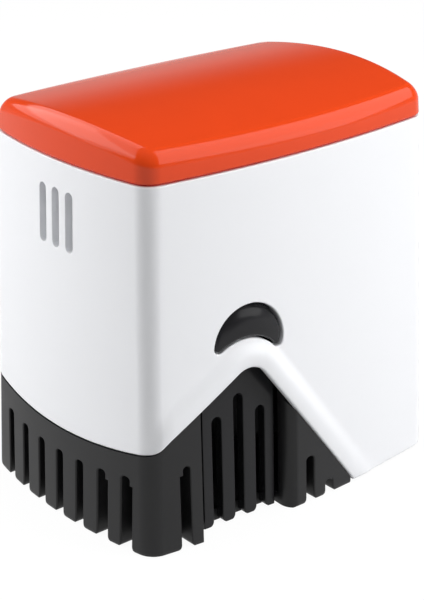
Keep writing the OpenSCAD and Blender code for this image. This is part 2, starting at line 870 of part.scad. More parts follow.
top_cap();
cap_gasket();
cap_screws();
housing();
strainer_base();
latch_arm_near();
latch_arm_far();
guide_stem();
stem_seal();
stem_nut();
float_clip();
float_lower_shell();
float_upper_shell();
float_magnet();
circuit_board();
board_screws();
sensor_strip();
lower_reed_switch();
upper_reed_switch();
power_relay();
terminal_block();
capacitor();
flyback_diode();
cable_gland();
gland_nut();
cable_seal();
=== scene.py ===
import json
import math
from collections import namedtuple

import bmesh
import bpy
from mathutils import Matrix, Vector


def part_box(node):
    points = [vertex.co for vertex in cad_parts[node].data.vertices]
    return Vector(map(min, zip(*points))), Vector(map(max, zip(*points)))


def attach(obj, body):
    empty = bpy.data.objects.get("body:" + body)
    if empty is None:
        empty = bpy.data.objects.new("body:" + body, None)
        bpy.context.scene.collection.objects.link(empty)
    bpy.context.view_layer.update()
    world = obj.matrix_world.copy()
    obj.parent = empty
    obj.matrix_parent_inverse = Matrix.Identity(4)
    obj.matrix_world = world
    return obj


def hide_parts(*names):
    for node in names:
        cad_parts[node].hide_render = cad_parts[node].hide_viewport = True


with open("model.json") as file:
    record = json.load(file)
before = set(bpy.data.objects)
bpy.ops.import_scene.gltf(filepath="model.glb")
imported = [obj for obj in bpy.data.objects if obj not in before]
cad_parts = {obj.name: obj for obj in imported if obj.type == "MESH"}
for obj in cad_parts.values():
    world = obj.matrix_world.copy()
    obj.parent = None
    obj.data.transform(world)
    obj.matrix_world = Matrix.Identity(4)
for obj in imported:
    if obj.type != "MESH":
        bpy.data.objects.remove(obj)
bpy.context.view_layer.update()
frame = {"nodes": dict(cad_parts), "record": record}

# Sizes are in millimetres until a mesh is made
MM = 0.001


def frame_size(node, corner, axis):
    """One coordinate of a CAD node's box, in millimetres."""
    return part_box(node)[corner][axis] / MM


# Moulded body
SEAM_Z = frame_size("housing", 1, 2)
BODY_H = frame_size("top_cap", 1, 2)
BODY_L = 94.0
BODY_W = 66.6
SIDE_BOW = 2.7
END_BOW = 2.4
CORNER_R = 5.5
FLARE = 3.2
WALL = 2.5
DECK_LOW = 62.0
DECK_TOP = 65.0
SKIRT_GAP = frame_size("housing", 0, 2)
SHAFT_D = 7.0

# Cap
SEAM_GAP = 0.5
CAP_EDGE_R = 3.5
# Power of the edge's curve: 1 is a quarter circle, and more is flatter
EDGE_POWER = 1.2
CAP_CROWN = 3.6
# Share of the crowned faces that is flat, in their middle
CROWN_MIDDLE = 0.02
CAP_T = 2.5
SPIGOT_H = 4.0
SPIGOT_T = 1.75

# Lower edge of the housing: a rounded wedge on the long sides and an arc across the front end
PEAK_X = -17.8
PEAK_Z = 42.6
PEAK_R = 5.8
FRONT_SLOPE = math.radians(31.5)
REAR_SLOPE = math.radians(52.5)
FRONT_Z = 24.05
FRONT_R = 176.0
TURN_X = -43.0
TURN_BLEND = 2.8
FOOT_BLEND = 8.0
INNER_RISE = 1.8

# Lip along the lower edge
LIP_FLAT = 3.0
LIP_RAMP = 4.2
LIP_PAST = 1.5
LIP_PROUD = 1.2
LIP_ROLL = 0.35
LIP_FADE = 3.0
LIP_THIN = 0.6

# Vents
VENT_COUNT = 3
VENT_W = 2.7
VENT_RIM = 0.2
VENT_PITCH = 5.2
VENT_L = 14.7
VENT_Z = 77.7

# Strainer base
FLOOR_T = 3.0
# Innermost ring of the floor's faces, as a share of the outline
FLOOR_RING = 0.9
JOINT_GAP = 0.25
TONGUE_IN = 2.75
TONGUE_T = 2.0
TONGUE_H = 3.0
RIM_H = 10.0
LEAST_WALL_H = 0.5
FOOT_R = 1.2
FOOT_RUN = 0.6
SOCKET_R = 9.0
SOCKET_H = 4.0
SOCKET_FIT = 0.05
STEM_X = 8.0
STEM_R = 6.0
MOUNT_R = 2.3
MOUNT_X = 28.0
MOUNT_Y = 13.0

# Slots of the base
SLOT_W = 2.5
SLOT_RIM = 0.5
SLOT_TOP_R = 0.9
SLOT_FOOT_R = 1.5
SLOT_DEPTH = 6.5
STEP_W = 0.9
STEP_DROP = 2.2
WING_SLOT_W = 1.9
WING_SHIFT = 0.3
END_SLOTS = 7
END_STEPPED = 2
END_PITCH = 7.9
END_DROP = 6.3
END_SHIFT = -0.7
SIDE_PITCH = 6.6
SIDE_FIRST = 19.0
FRONT_DROP = 10.5
PEAK_DROP = 8.8
REAR_DROP = 8.2

# Latch arms and the recesses that they stand in
LATCH_X = -17.2
RECESS_FRONT = 15.5
RECESS_REAR = 16.0
FRONT_RETURN_R = 1.2
REAR_RETURN_R = 4.0
ARM_INSET = 5.0
ARM_T = 2.5
ARM_W = 21.8
ARM_SLOTS = 3
ARM_SLOT_W = 2.7
ARM_LIFT = 0.4
HEAD_IN = 1.0
BEAD_R = 1.5
BEAD_Z = 2.3

# Crescent windows and buttons
CRESCENT_R = 10.25
HOLLOW_R = 12.2
CRESCENT_Z = 48.3
CRESCENT_STEP = 10.65
CRESCENT_LEAN = math.radians(8.2)
TIP_R = 1.5
LEAST_TIP_R = 0.02
BUTTON_GAP = 0.5
BUTTON_PROUD = 0.5
BUTTON_RIM = 0.8
FACE_INSET = 3.8
DOME_R = 55.0
BROW_R = 4.2
BROW_W = 3.3

# Cable inlet
INLET_Z = 77.0
INLET_PAD_R = 10.0
INLET_PAD_T = 6.0
INLET_EDGE = 0.3
INLET_REACH = 15.0
GLAND_BORE_R = 4.15
GLAND_BARREL_R = 6.0
GLAND_COLLAR_T = 1.7
SEAL_BORE_R = 2.9
SEAL_R = 4.1

# Small roundings, and overruns of cutting and joining shapes
EDGE_R = 0.5
RIM_R = 0.4
OVER = 3.0
SEAT = 1.0
# Keeps cutting shapes off the faces that they would otherwise share
CLEAR = 0.03
# Rise up to which the lower edge counts as the skirt's foot
SKIRT_TOL = 0.05

# Facets round turned shapes
ROUND_N = 64
ROD_N = 48
BEAD_N = 24
# Points closer than this, in metres, are merged
WELD = 1e-6
# Bend up to which a point along an edge counts as spare
STRAIGHT = math.radians(10)
# Bend from which an edge shows as crisp
CRISP = math.radians(35)

# Skeleton of the bowed outline: corner centres, bow radii and half angles
KX = BODY_L / 2 - END_BOW - CORNER_R
KY = BODY_W / 2 - SIDE_BOW - CORNER_R
SIDE_R = (KX * KX + SIDE_BOW * SIDE_BOW) / (2 * SIDE_BOW)
END_R = (KY * KY + END_BOW * END_BOW) / (2 * END_BOW)
SIDE_A = math.asin(KX / SIDE_R)
END_A = math.asin(KY / END_R)
SIDE_C = SIDE_R - KY - SIDE_BOW
END_C = END_R - KX - END_BOW
# Move of a corner's centre for each unit of flare, so that the corners keep one radius
CORNER_DX = (math.cos(SIDE_A) - math.sin(END_A)) / math.cos(SIDE_A + END_A)
CORNER_DY = (math.cos(END_A) - math.sin(SIDE_A)) / math.cos(SIDE_A + END_A)
PEAK_CZ = PEAK_Z - PEAK_R
BASE_IN = TONGUE_IN + TONGUE_T
CAP_IN = TONGUE_IN + SPIGOT_T
FOOT_X = PEAK_X + (PEAK_CZ + PEAK_R / math.cos(REAR_SLOPE) - SKIRT_GAP) / math.tan(REAR_SLOPE)

Column = namedtuple("Column", "x y move_x move_y nx ny")


def smoothstep(low, high, t):
    t = min(1.0, max(0.0, (t - low) / (high - low)))
    return t * t * (3 - 2 * t)


def spread(a, b, n):
    """n + 1 even values from a to b."""
    return [a + (b - a) * i / n for i in range(n + 1)]


def row(count, pitch):
    """Places of a row about 0."""
    return [(i - (count - 1) / 2) * pitch for i in range(count)]


def around(n, start=0.0):
    """n even angles round a circle."""
    return [start + 2 * math.pi * i / n for i in range(n)]


def arc(cx, cy, r, a, b, n):
    """n + 1 points of an arc from angle a to angle b."""
    return [(cx + r * math.cos(t), cy + r * math.sin(t)) for t in spread(a, b, n)]


# Walls of the body

def grow(z):
    """Outward offset of the flared wall at a height."""
    return FLARE * (SEAM_Z - z) / SEAM_Z


def side_y(x, z):
    """Outer face of the near long side."""
    g = grow(z)
    past = abs(x) - KX - CORNER_DX * g
    if past < CORNER_R * math.sin(SIDE_A):
        return SIDE_C - math.sqrt((SIDE_R + CORNER_R + g) ** 2 - x * x)
    return -KY - CORNER_DY * g - math.sqrt(max(0.0, CORNER_R ** 2 - past ** 2))


def end_x(y, z):
    """Outer face of the rear end."""
    return math.sqrt((END_R + CORNER_R + grow(z)) ** 2 - y * y) - END_C


def edge_z(x):
    """Height of the housing's lower edge along a long side."""
    if x < PEAK_X - PEAK_R * math.sin(FRONT_SLOPE):
        return PEAK_CZ + PEAK_R / math.cos(FRONT_SLOPE) + (x - PEAK_X) * math.tan(FRONT_SLOPE)
    if x > PEAK_X + PEAK_R * math.sin(REAR_SLOPE):
        return PEAK_CZ + PEAK_R / math.cos(REAR_SLOPE) - (x - PEAK_X) * math.tan(REAR_SLOPE)
    return PEAK_CZ + math.sqrt(PEAK_R ** 2 - (x - PEAK_X) ** 2)


def front_edge(y):
    """Height of the lower edge across the front end."""
    return FRONT_Z + FRONT_R - math.sqrt(FRONT_R ** 2 - y * y)


def turn_share(x):
    """0 on the front end, 1 on the long sides, blended round the corner."""
    return smoothstep(TURN_X - TURN_BLEND, TURN_X + TURN_BLEND, x)


def lower_edge(x, y):
    w = turn_share(x)
    return (1 - w) * front_edge(y) + w * max(edge_z(x), SKIRT_GAP)


def edge_gap(x, z):
    """Distance above the rounded wedge that the lower edge follows on a long side."""
    px = x - PEAK_X
    pz = z - PEAK_CZ
    if px < 0 and px * math.cos(FRONT_SLOPE) + pz * math.sin(FRONT_SLOPE) < 0:
        return pz * math.cos(FRONT_SLOPE) - px * math.sin(FRONT_SLOPE) - PEAK_R
    if px >= 0 and px * math.cos(REAR_SLOPE) - pz * math.sin(REAR_SLOPE) > 0:
        return px * math.sin(REAR_SLOPE) + pz * math.cos(REAR_SLOPE) - PEAK_R
    return math.hypot(px, pz) - PEAK_R


def lip(x, z):
    """Rise of the lip on the lower edge: rolled at the edge, thinner to the rear, gone at the front."""
    gap = edge_gap(x, z)
    fade = smoothstep(TURN_X - LIP_FADE, TURN_X + LIP_FADE, x)
    thin = 1 - LIP_THIN * smoothstep(PEAK_X, FOOT_X, x)
    roll = 1 - LIP_ROLL * (1 - min(1.0, max(0.0, gap / LIP_FLAT))) ** 2
    return LIP_PROUD * fade * thin * roll * (1 - smoothstep(LIP_FLAT, LIP_FLAT + LIP_RAMP, gap))


def edge_steepness(x):
    """Height gained per unit of distance square to the lower edge."""
    if x < PEAK_X - PEAK_R * math.sin(FRONT_SLOPE):
        slope = FRONT_SLOPE * turn_share(x)
    elif x < PEAK_X + PEAK_R * math.sin(REAR_SLOPE):
        slope = math.asin((x - PEAK_X) / PEAK_R)
    else:
        slope = REAR_SLOPE * (1 - smoothstep(FOOT_X, FOOT_X + FOOT_BLEND, x))
    return 1 / math.cos(slope)


# Columns round the outline

def column_at(column, z, depth=0.0):
    """Point of a column on the flared wall at a height, set in by a depth."""
    g = grow(z)
    x = column.x + column.move_x * g - column.nx * depth
    y = column.y + column.move_y * g - column.ny * depth
    return x, y


def outline(side_angles, corner_n, end_n):
    """Columns round the body, counter-clockwise from the near side's front."""
    columns = []

    def add(cx, cy, r, angles, move=None):
        for a in angles[:-1]:
            nx, ny = math.cos(a), math.sin(a)
            columns.append(Column(cx + r * nx, cy + r * ny, *(move or (nx, ny)), nx, ny))

    def corner(sx, sy, angles):
        add(sx * KX, sy * KY, CORNER_R, angles, (sx * CORNER_DX, sy * CORNER_DY))

    up = math.pi / 2
    add(0, SIDE_C, SIDE_R + CORNER_R, [a - up for a in side_angles])
    corner(1, -1, spread(SIDE_A - up, -END_A, corner_n))
    add(-END_C, 0, END_R + CORNER_R, spread(-END_A, END_A, end_n))
    corner(1, 1, spread(END_A, up - SIDE_A, corner_n))
    add(0, -SIDE_C, SIDE_R + CORNER_R, [up - a for a in reversed(side_angles)])
    corner(-1, 1, spread(up + SIDE_A, 2 * up - END_A, corner_n))
    add(END_C, 0, END_R + CORNER_R, spread(2 * up - END_A, 2 * up + END_A, end_n))
    corner(-1, -1, spread(2 * up + END_A, 3 * up - SIDE_A, corner_n))
    return columns


def edge_angles():
    """Stations along a long side, close together where the lower edge bends."""
    def angle(x):
        return math.asin(x / (SIDE_R + CORNER_R + grow(max(edge_z(x), SKIRT_GAP))))

    bends = [PEAK_X - PEAK_R * math.sin(FRONT_SLOPE), PEAK_X + PEAK_R * math.sin(REAR_SLOPE), FOOT_X]
    stops = [-SIDE_A] + [angle(x) for x in bends] + [SIDE_A]
    counts = [18, 12, 30, 14]
    angles = [-SIDE_A]
    for a, b, n in zip(stops, stops[1:], counts):
        angles += spread(a, b, n)[1:]
    return angles


EDGE_COLUMNS = outline(edge_angles(), corner_n=14, end_n=28)
EVEN_COLUMNS = outline(spread(-SIDE_A, SIDE_A, 44), corner_n=16, end_n=28)


def low_point(column):
    """Height at which a column meets the lower edge, closed in on because the wall leans."""
    z = FRONT_Z
    for _ in range(6):
        z = lower_edge(*column_at(column, z))
    return z


def wall_ring(columns, z, depth):
    """Ring on the flared wall at one height, set in by a depth."""
    return [(*column_at(c, z, depth), z) for c in columns]


def shrunk(ring, share):
    """A ring drawn in towards the upright axis."""
    return [(share * x, share * y, z) for x, y, z in ring]


# Solids as lists of points and faces

Solid = namedtuple("Solid", "points faces")


def loft(rings):
    """Closed solid skinned over closed rings of equal length, with flat ends."""
    n = len(rings[0])
    points = [p for ring in rings for p in ring]
    faces = [tuple(reversed(range(n)))]
    for k in range(len(rings) - 1):
        for i in range(n):
            j = (i + 1) % n
            faces.append((k * n + i, k * n + j, (k + 1) * n + j, (k + 1) * n + i))
    faces.append(tuple(range((len(rings) - 1) * n, len(rings) * n)))
    return Solid(points, faces)


def flared(shape, place, inner, rim=RIM_R):
    """Cutting prism with a rounded mouth. shape(offset) is its outline, place(u, v, depth) its place."""
    levels = [(rim, -OVER)]
    for a in spread(0, math.pi / 2, 4):
        levels.append((rim * (1 - math.sin(a)), rim * (1 - math.cos(a)) - CLEAR))
    levels.append((0, inner))
    return loft([[place(u, v, depth) for u, v in shape(offset)] for offset, depth in levels])


def drum(profile, place, n=ROUND_N, start=0.0):
    """Solid stacked from circles of (radius, along). place(u, v, along) sets its axis."""
    return loft([[place(r * math.cos(a), r * math.sin(a), t) for a in around(n, start)] for r, t in profile])


def turned(profile, place, n=ROUND_N):
    """Ring turned from a closed profile of (radius, along) points."""
    points = [place(r * math.cos(a), r * math.sin(a), t) for a in around(n) for r, t in profile]
    m = len(profile)
    faces = [(k * m + i, k * m + (i + 1) % m, (k + 1) % n * m + (i + 1) % m, (k + 1) % n * m + i)
             for k in range(n) for i in range(m)]
    return Solid(points, faces)


def together(solids):
    """Several solids as one."""
    points, faces = [], []
    for s in solids:
        faces += [tuple(i + len(points) for i in f) for f in s.faces]
        points += s.points
    return Solid(points, faces)


def mirrored(solid):
    """The same solid on the far side."""
    return Solid([(x, -y, z) for x, y, z in solid.points], solid.faces)


# Objects

def make_object(name, solid):
    mesh = bpy.data.meshes.new(name)
    mesh.from_pydata([Vector(p) * MM for p in solid.points], [], solid.faces)
    work = bmesh.new()
    work.from_mesh(mesh)
    bmesh.ops.recalc_face_normals(work, faces=work.faces)
    work.to_mesh(mesh)
    work.free()
    obj = bpy.data.objects.new(name, mesh)
    bpy.context.scene.collection.objects.link(obj)
    return obj


def combine(obj, solid, operation):
    """Cuts a solid from an object, or adds it."""
    tool = make_object("tool", solid)
    step = obj.modifiers.new("combine", "BOOLEAN")
    step.object = tool
    step.operation = operation
    step.solver = "EXACT"
    result = bpy.data.meshes.new_from_object(obj.evaluated_get(bpy.context.evaluated_depsgraph_get()))
    obj.modifiers.clear()
    obj.data = result
    bpy.data.objects.remove(tool)


def cut(obj, solids):
    combine(obj, together(solids), "DIFFERENCE")


def join(obj, solids):
    combine(obj, together(solids), "UNION")


def clean(mesh):
    """Merges double points and drops the spare ones along straight edges."""
    work = bmesh.new()
    work.from_mesh(mesh)
    bmesh.ops.remove_doubles(work, verts=work.verts, dist=WELD)
    bmesh.ops.dissolve_degenerate(work, edges=work.edges, dist=WELD)
    spare = [v for v in work.verts if len(v.link_edges) == 2 and v.calc_edge_angle() < STRAIGHT]
    bmesh.ops.dissolve_verts(work, verts=spare)
    bmesh.ops.recalc_face_normals(work, faces=work.faces)
    work.to_mesh(mesh)
    work.free()


def finish_piece(obj, body, node, slot):
    """Smooth faces with crisp edges, a material, and the CAD body and node it belongs to."""
    clean(obj.data)
    obj.data.polygons.foreach_set("use_smooth", [True] * len(obj.data.polygons))
    obj.data.set_sharp_from_angle(angle=CRISP)
    normals = obj.modifiers.new("normals", "WEIGHTED_NORMAL")
    normals.keep_sharp = True
    obj.data.materials.clear()
    obj.data.materials.append(MATERIALS[slot])
    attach(obj, body)
    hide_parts(node)


# Places on the body

LATCH_YAW = math.asin(LATCH_X / (SIDE_R + CORNER_R + FLARE))
LATCH_LEAN = math.atan(FLARE / SEAM_Z)
LATCH_FRAME = (Matrix.Translation((LATCH_X, side_y(LATCH_X, 0), 0))
               @ Matrix.Rotation(LATCH_YAW, 4, "Z") @ Matrix.Rotation(-LATCH_LEAN, 4, "X"))


def on_latch(u, v, depth):
    """Flat frame on the near side at the latch: u along the wall, v up it."""
    return tuple(LATCH_FRAME @ Vector((u, depth, v)))


def on_latch_wall(u, v, depth):
    """The same, bent with the bow of the wall."""
    return on_latch(u, v, depth + u * u / (2 * (SIDE_R + CORNER_R)))


def on_arm(shift):
    """Face of the near latch arm about one place across it."""
    return lambda u, v, depth: on_latch(u + shift, v, depth + ARM_INSET)


def on_front(y):
    """Front end about one place across it."""
    return lambda u, v, depth: (depth - end_x(u + y, v), u + y, v)


def on_side(x):
    """Near side about one place along it."""
    return lambda u, v, depth: (x + u, side_y(x + u, v) + depth, v)


def upright(x, y):
    """Axis that stands at a point."""
    return lambda u, v, along: (x + u, y + v, along)


def on_inlet(u, v, along):
    """Axis of the cable inlet."""
    return along, u, v + INLET_Z


# Outlines

def crescent(offset):
    """Crescent with round tips, grown by an offset, in the latch frame."""
    outer = CRESCENT_R + offset
    hollow = HOLLOW_R - offset
    tip = max(TIP_R + offset, LEAST_TIP_R)
    reach, far = outer - tip, hollow + tip
    ty = (far ** 2 - reach ** 2 - CRESCENT_STEP ** 2) / (2 * CRESCENT_STEP)
    tx = math.sqrt(reach ** 2 - ty ** 2)
    lean = math.atan2(ty, tx)
    inward = math.atan2(-CRESCENT_STEP - ty, tx)
    fall = math.atan2(ty + CRESCENT_STEP, tx)
    full = 2 * math.pi
    points = arc(0, 0, outer, lean, math.pi - lean, 40)
    points += arc(-tx, ty, tip, math.pi - lean, full + inward, 8)[1:]
    points += arc(0, -CRESCENT_STEP, hollow, math.pi - fall, fall, 30)[1:]
    points += arc(tx, ty, tip, math.pi - inward, full + lean, 8)[1:-1]
    c, s = math.cos(-CRESCENT_LEAN), math.sin(-CRESCENT_LEAN)
    return [(c * x - s * y, s * x + c * y + CRESCENT_Z) for x, y in points]


def stadium(offset):
    """Upright vent outline about u = 0."""
    r = VENT_W / 2 + offset
    half = (VENT_L - VENT_W) / 2
    return arc(0, VENT_Z + half, r, 0, math.pi, 12) + arc(0, VENT_Z - half, r, math.pi, 2 * math.pi, 12)


def comb_slot(width, top, foot=0.0, wider=0, shoulder=SLOT_TOP_R):
    """Slot with a rounded top, open at the foot between rounded ribs. wider gives a stepped side, -1 or 1."""
    def shape(offset):
        r = width / 2 + offset
        corner = width / 2 - shoulder
        rise = foot + SLOT_FOOT_R - CLEAR
        low = top - STEP_DROP + offset
        right = r + (STEP_W if wider > 0 else 0)
        left = r + (STEP_W if wider < 0 else 0)
        return (arc(right + SLOT_FOOT_R, rise, SLOT_FOOT_R, 1.5 * math.pi, math.pi, 6)
                + ([(right, low), (r, low)] if wider > 0 else [])
                + arc(corner, top - shoulder, shoulder + offset, 0, math.pi / 2, 6)
                + arc(-corner - CLEAR, top - shoulder, shoulder + offset, math.pi / 2, math.pi, 6)
                + ([(-r, low), (-left, low)] if wider < 0 else [])
                + arc(-left - SLOT_FOOT_R, rise, SLOT_FOOT_R, 0, -0.5 * math.pi, 6)
                + [(-left - SLOT_FOOT_R, foot - OVER), (right + SLOT_FOOT_R, foot - OVER)])
    return shape


def slot_top(x):
    """Top of a slot, a drop below the lower edge on the same side of the peak."""
    if x < LATCH_X - SIDE_PITCH / 2:
        return edge_z(x) - FRONT_DROP
    return edge_z(x) - (PEAK_DROP if x < LATCH_X + SIDE_PITCH / 2 else REAR_DROP)


# Materials, with sizes in metres

# Sockets of a mix node that count when it mixes colours
MIX_FACTOR, MIX_A, MIX_B, MIX_RESULT = 0, 6, 7, 2
# Range of values that noise mostly keeps to
NOISE_LOW, NOISE_HIGH = 0.2, 0.8
# Sizes of the patches in which a plastic's colour and gloss drift
TINT_PATCH = 0.02
GLOSS_PATCH = 0.006


def new_material(name):
    material = bpy.data.materials.new(name)
    material.use_nodes = True
    nodes, links = material.node_tree.nodes, material.node_tree.links
    return material, nodes, links, nodes["Principled BSDF"]


def srgb(r, g, b):
    """Linear colour of a display colour from 0 to 255."""
    return tuple((v / 255 / 12.92) if v <= 10 else ((v / 255 + 0.055) / 1.055) ** 2.4 for v in (r, g, b))


def shade(colour, share):
    return tuple(share * c for c in colour)


def noise(nodes, links, size, detail=3.0, stretch=(1, 1, 1)):
    """Noise in object space with features of about a size."""
    place = nodes.new("ShaderNodeTexCoord")
    scale = nodes.new("ShaderNodeMapping")
    scale.inputs["Scale"].default_value = stretch
    texture = nodes.new("ShaderNodeTexNoise")
    texture.inputs["Scale"].default_value = 1 / size
    texture.inputs["Detail"].default_value = detail
    links.new(place.outputs["Object"], scale.inputs["Vector"])
    links.new(scale.outputs["Vector"], texture.inputs["Vector"])
    return texture.outputs["Fac"]


def drift(nodes, links, fac, low, high):
    """Noise mapped to a range of values."""
    ramp = nodes.new("ShaderNodeMapRange")
    ramp.inputs["From Min"].default_value = NOISE_LOW
    ramp.inputs["From Max"].default_value = NOISE_HIGH
    ramp.inputs["To Min"].default_value = low
    ramp.inputs["To Max"].default_value = high
    links.new(fac, ramp.inputs["Value"])
    return ramp.outputs["Result"]


def mixed(nodes, links, fac, first, second):
    """Colour between two shades by a factor."""
    mix = nodes.new("ShaderNodeMix")
    mix.data_type = "RGBA"
    mix.inputs[MIX_A].default_value = (*first, 1)
    mix.inputs[MIX_B].default_value = (*second, 1)
    links.new(fac, mix.inputs[MIX_FACTOR])
    return mix.outputs[MIX_RESULT]


def tinted(nodes, links, fac, dark, light):
    """Colour that drifts between two shades with a noise."""
    return mixed(nodes, links, drift(nodes, links, fac, 0, 1), dark, light)


def bumped(nodes, links, shader, fac, depth):
    bump = nodes.new("ShaderNodeBump")
    bump.inputs["Distance"].default_value = depth
    links.new(fac, bump.inputs["Height"])
    links.new(bump.outputs["Normal"], shader.inputs["Normal"])


def plastic(name, colour, roughness, specular, grain, depth, mottle, uneven=0.08):
    """Moulded plastic: faint drift of colour, uneven gloss and a fine grain."""
    material, nodes, links, shader = new_material(name)
    cloud = noise(nodes, links, TINT_PATCH)
    tint = tinted(nodes, links, cloud, shade(colour, 1 - mottle), shade(colour, 1 + mottle))
    links.new(tint, shader.inputs["Base Color"])
    patches = noise(nodes, links, GLOSS_PATCH)
    gloss = drift(nodes, links, patches, roughness * (1 - uneven), roughness * (1 + uneven))
    links.new(gloss, shader.inputs["Roughness"])
    bumped(nodes, links, shader, noise(nodes, links, grain, 2.0), depth)
    shader.inputs["Specular IOR Level"].default_value = specular
    return material


def brushed_steel(name):
    """Stainless steel with fine turned lines."""
    material, nodes, links, shader = new_material(name)
    lines = noise(nodes, links, size=0.0006, detail=4.0, stretch=(1, 1, 12))
    tint = tinted(nodes, links, lines, srgb(172, 172, 174), srgb(206, 206, 208))
    links.new(tint, shader.inputs["Base Color"])
    links.new(drift(nodes, links, lines, 0.22, 0.38), shader.inputs["Roughness"])
    bumped(nodes, links, shader, lines, depth=0.000006)
    shader.inputs["Metallic"].default_value = 1.0
    return material


def board_laminate(name):
    """Green solder mask with darker copper lands under it."""
    material, nodes, links, shader = new_material(name)
    place = nodes.new("ShaderNodeTexCoord")
    lands = nodes.new("ShaderNodeTexVoronoi")
    lands.distance = "MANHATTAN"
    lands.feature = "DISTANCE_TO_EDGE"
    lands.inputs["Scale"].default_value = 160
    links.new(place.outputs["Object"], lands.inputs["Vector"])
    trace = nodes.new("ShaderNodeMath")
    trace.operation = "GREATER_THAN"
    trace.inputs[1].default_value = 0.08
    links.new(lands.outputs["Distance"], trace.inputs[0])
    tint = mixed(nodes, links, trace.outputs["Value"], srgb(34, 112, 62), srgb(18, 82, 44))
    links.new(tint, shader.inputs["Base Color"])
    bumped(nodes, links, shader, trace.outputs["Value"], depth=0.00002)
    shader.inputs["Roughness"].default_value = 0.3
    return material


def reed_glass(name):
    """Clear drawn glass with a green cast."""
    material, nodes, links, shader = new_material(name)
    streaks = noise(nodes, links, size=0.001, detail=2.0, stretch=(1, 1, 0.1))
    tint = tinted(nodes, links, streaks, srgb(196, 224, 212), srgb(222, 240, 232))
    links.new(tint, shader.inputs["Base Color"])
    links.new(drift(nodes, links, streaks, 0.02, 0.06), shader.inputs["Roughness"])
    shader.inputs["Transmission Weight"].default_value = 0.85
    shader.inputs["IOR"].default_value = 1.5
    return material


PLASTICS = {
    "cap_plastic": dict(
        colour=srgb(229, 71, 25), roughness=0.1, specular=0.4, grain=0.0012, depth=0.000003, mottle=0.02),
    "housing_plastic": dict(
        colour=srgb(243, 244, 247), roughness=0.28, specular=0.35, grain=0.0015, depth=0.0000008,
        mottle=0.001, uneven=0.02),
    "base_plastic": dict(
        colour=srgb(36, 36, 37), roughness=0.38, specular=0.38, grain=0.0003, depth=0.000012, mottle=0.08),
    "latch_plastic": dict(
        colour=srgb(34, 34, 36), roughness=0.2, specular=0.3, grain=0.0006, depth=0.000004, mottle=0.06),
    "seal_rubber": dict(
        colour=srgb(24, 24, 25), roughness=0.7, specular=0.2, grain=0.0005, depth=0.00001, mottle=0.1),
    "gasket_rubber": dict(
        colour=srgb(196, 62, 52), roughness=0.6, specular=0.2, grain=0.0005, depth=0.00001, mottle=0.1),
    "stem_plastic": dict(
        colour=srgb(214, 213, 207), roughness=0.4, specular=0.35, grain=0.0005, depth=0.000006, mottle=0.03),
    "float_plastic": dict(
        colour=srgb(34, 34, 36), roughness=0.42, specular=0.35, grain=0.0007, depth=0.000008, mottle=0.04),
    "magnet_ferrite": dict(
        colour=srgb(60, 60, 63), roughness=0.55, specular=0.4, grain=0.0002, depth=0.00002, mottle=0.15),
    "relay_case": dict(
        colour=srgb(38, 84, 160), roughness=0.25, specular=0.4, grain=0.0006, depth=0.000006, mottle=0.04),
    "terminal_plastic": dict(
        colour=srgb(44, 128, 78), roughness=0.4, specular=0.35, grain=0.0005, depth=0.000008, mottle=0.05),
    "capacitor_sleeve": dict(
        colour=srgb(30, 34, 62), roughness=0.22, specular=0.45, grain=0.0008, depth=0.000005, mottle=0.08),
    "diode_case": dict(
        colour=srgb(28, 28, 29), roughness=0.5, specular=0.3, grain=0.0003, depth=0.00001, mottle=0.1),
    "gland_plastic": dict(
        colour=srgb(50, 50, 52), roughness=0.42, specular=0.3, grain=0.0003, depth=0.00001, mottle=0.08),
}
MATERIALS = {name: plastic(name, **look) for name, look in PLASTICS.items()}
MATERIALS["screw_steel"] = brushed_steel("screw_steel")
MATERIALS["board_laminate"] = board_laminate("board_laminate")
MATERIALS["reed_glass"] = reed_glass("reed_glass")

for part in frame["record"]["subparts"]:
    for material_slot in frame["nodes"][part["node"]].material_slots:
        material_slot.material = MATERIALS[part["material_slot"]]


# Housing

def housing_rings():
    """Rings from the deck's top, over the outer wall and its lower edge, to the deck's underside."""
    columns = EDGE_COLUMNS
    lows = [low_point(c) for c in columns]
    steep = [edge_steepness(column_at(c, z)[0]) for c, z in zip(columns, lows)]
    top = SEAM_Z - RIM_R

    def above(t):
        """Heights at a distance square to the lower edge."""
        return [low + t * s for low, s in zip(lows, steep)]

    def towards_seam(t, share):
        """Heights that go from there to the rim at the seam as the share goes from 0 to 1."""
        return [z + (top - z) * share for z in above(t)]

    def outer(heights, depth=0.0):
        """Ring on the wall and its lip."""
        ring = []
        for c, z in zip(columns, heights):
            x, _ = column_at(c, z)
            ring.append((*column_at(c, z, depth - lip(x, z)), z))
        return ring

    def inner(heights):
        return [(*column_at(c, z, WALL), z) for c, z in zip(columns, heights)]

    lip_top = LIP_FLAT + LIP_RAMP + LIP_PAST
    rings = [wall_ring(columns, z, WALL) for z in (DECK_TOP, SEAM_Z)]
    rings += [wall_ring(columns, SEAM_Z - RIM_R * (1 - math.cos(a)), RIM_R * (1 - math.sin(a)))
              for a in spread(0, math.pi / 2, 3)]
    rings += [outer(towards_seam(lip_top, 1 - share)) for share in spread(0, 1, 16)[1:]]
    rings += [outer(above(t)) for t in reversed(spread(EDGE_R, lip_top, 20)[:-1])]
    rings += [outer(above(EDGE_R * (1 - math.sin(a))), EDGE_R * (1 - math.cos(a)))
              for a in spread(0, math.pi / 2, 4)[1:]]
    rings += [outer(lows, WALL / 2), inner(above(INNER_RISE)), wall_ring(columns, DECK_LOW, WALL)]
    return rings


def baffle():
    """Wall behind the vents that keeps the air shaft apart from the electronics."""
    front = -(BODY_L / 2 - WALL - SHAFT_D)
    low, high = DECK_LOW + SEAT, SEAM_Z - SPIGOT_H - JOINT_GAP
    rings = []
    for x in (front, front + WALL):
        half = -side_y(x, high) - WALL / 2
        rings.append([(x, -half, low), (x, half, low), (x, half, high), (x, -half, high)])
    return loft(rings)


